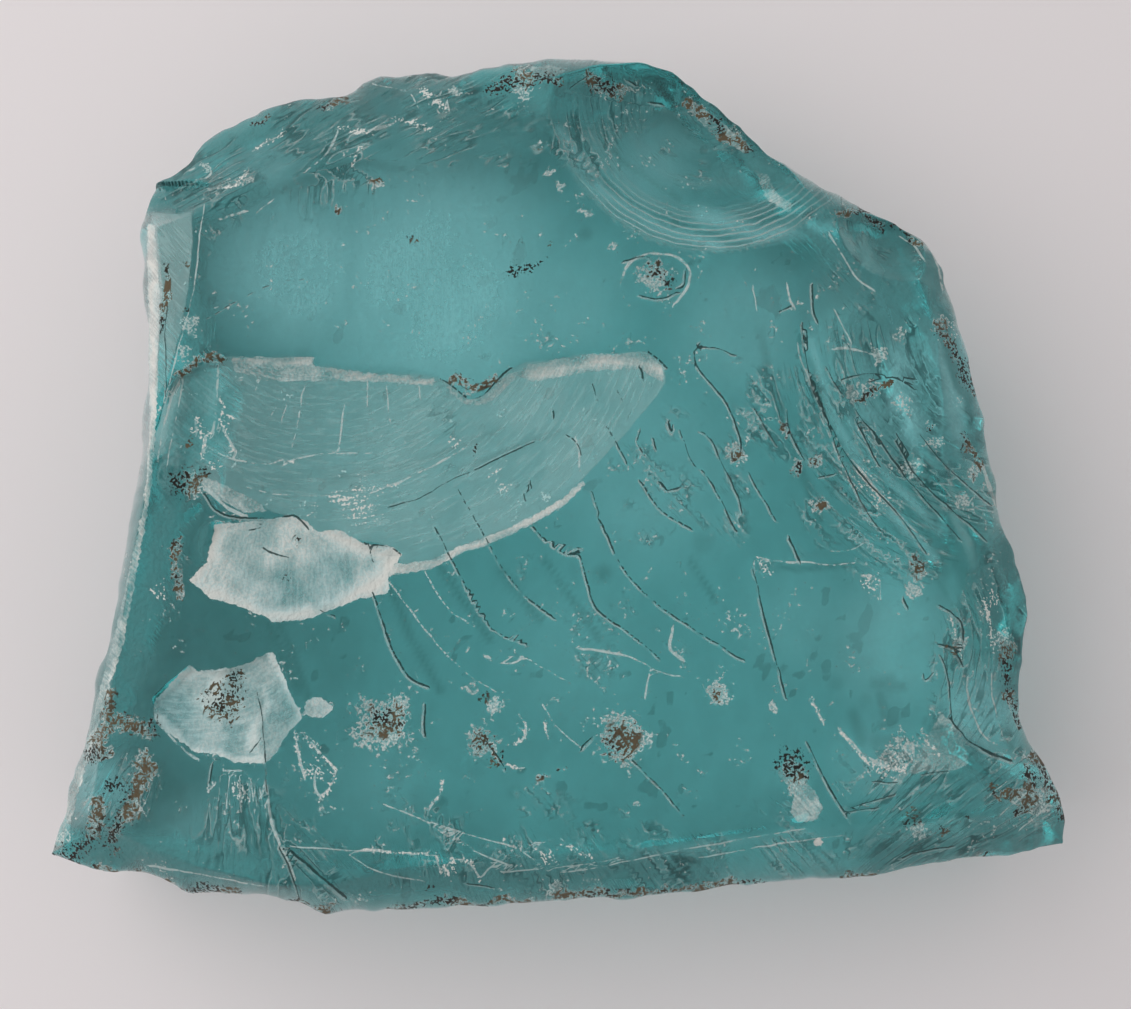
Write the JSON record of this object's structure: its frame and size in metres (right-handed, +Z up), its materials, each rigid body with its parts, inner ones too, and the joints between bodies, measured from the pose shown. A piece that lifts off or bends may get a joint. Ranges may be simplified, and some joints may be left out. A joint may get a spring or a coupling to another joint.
{
  "type": "raw obsidian",
  "caption": "Rough broken lump of clear blue-green volcanic glass with conchoidal scars and a flat underside, for display, lapidary stock or an aquascape.",
  "frame": {"origin": "on the flat underside, under the middle of the lump's box", "axes": "+X along the longest extent, to the right in the picture; +Y towards the scooped rear rim; +Z up, out of the broad broken face"},
  "size_m": [0.1856, 0.1562, 0.0557],
  "materials": {
    "glass": "smooth fracture faces, satin on the milky flake scars"
  },
  "bodies": {
    "root": {"glass_chunk": "glass"}
  },
  "joints": []
}
